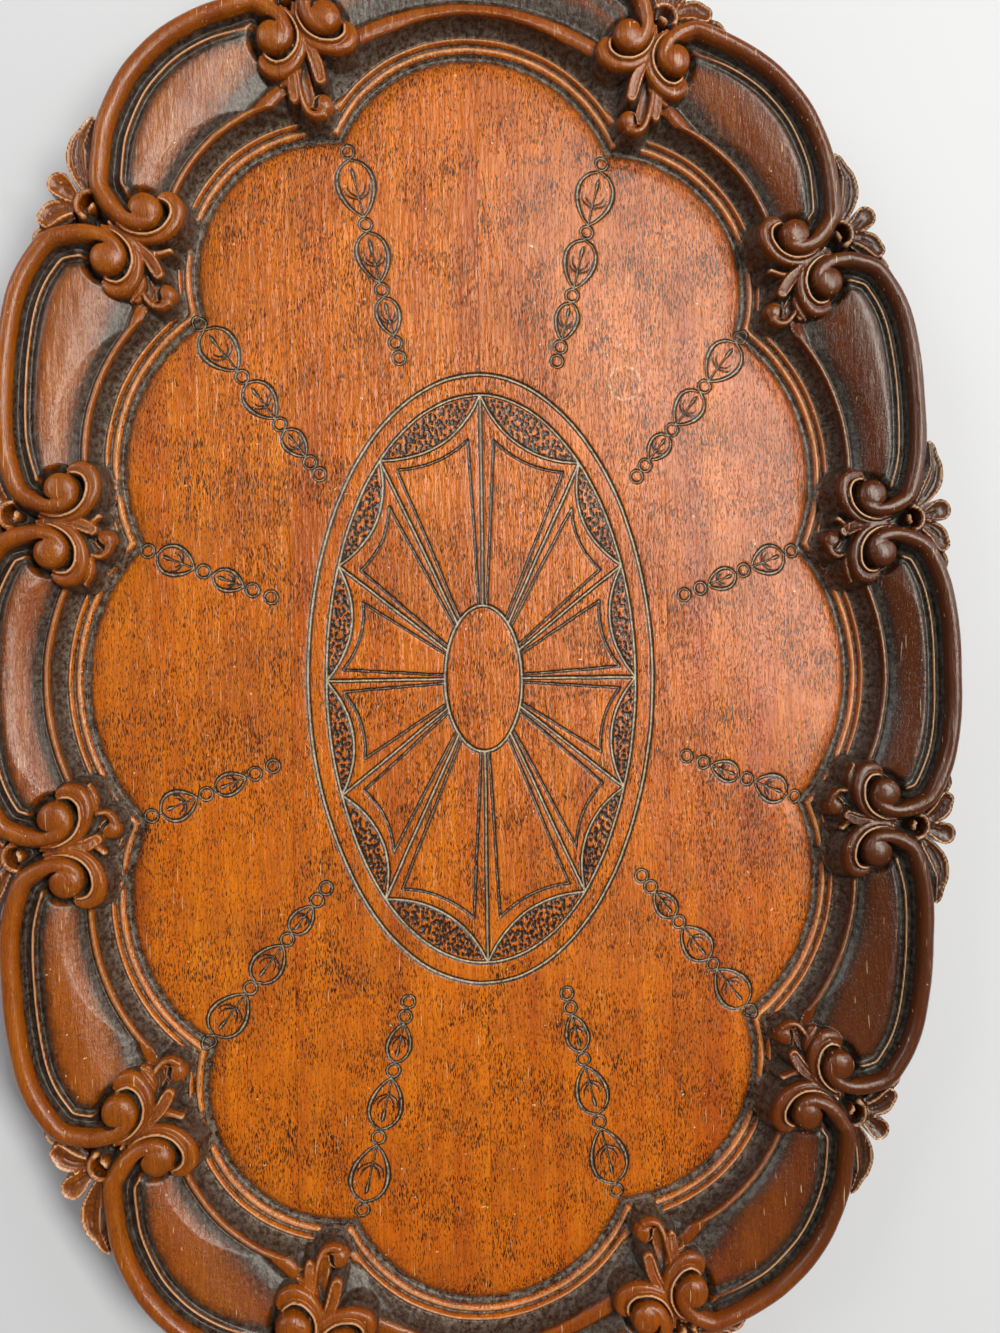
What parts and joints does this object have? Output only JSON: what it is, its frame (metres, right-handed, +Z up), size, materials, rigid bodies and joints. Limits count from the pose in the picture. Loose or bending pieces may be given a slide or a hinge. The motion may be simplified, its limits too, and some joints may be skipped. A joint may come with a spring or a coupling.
{
  "type": "carved wooden tray",
  "caption": "Scalloped oval serving tray of glued boards with a carved rim of scrolls, volutes and acanthus fans and a flat field.",
  "frame": {"origin": "middle of the tray in plan, on the plane it stands on", "axes": "+Y along the tray, +X across it, +Z up out of the field"},
  "size_m": [0.356, 0.534, 0.0295],
  "materials": {
    "middle_board": "waxed reddish brown hardwood",
    "outer_board": "waxed reddish brown hardwood",
    "dowel": "plain turned hardwood"
  },
  "bodies": {
    "root": {"board_left_outer": "outer_board", "board_left_middle": "middle_board", "board_right_middle": "middle_board", "board_right_outer": "outer_board", "dowel_left_1": "dowel", "dowel_left_2": "dowel", "dowel_left_3": "dowel", "dowel_left_4": "dowel", "dowel_centre_1": "dowel", "dowel_centre_2": "dowel", "dowel_centre_3": "dowel", "dowel_centre_4": "dowel", "dowel_right_1": "dowel", "dowel_right_2": "dowel", "dowel_right_3": "dowel", "dowel_right_4": "dowel"}
  },
  "joints": []
}
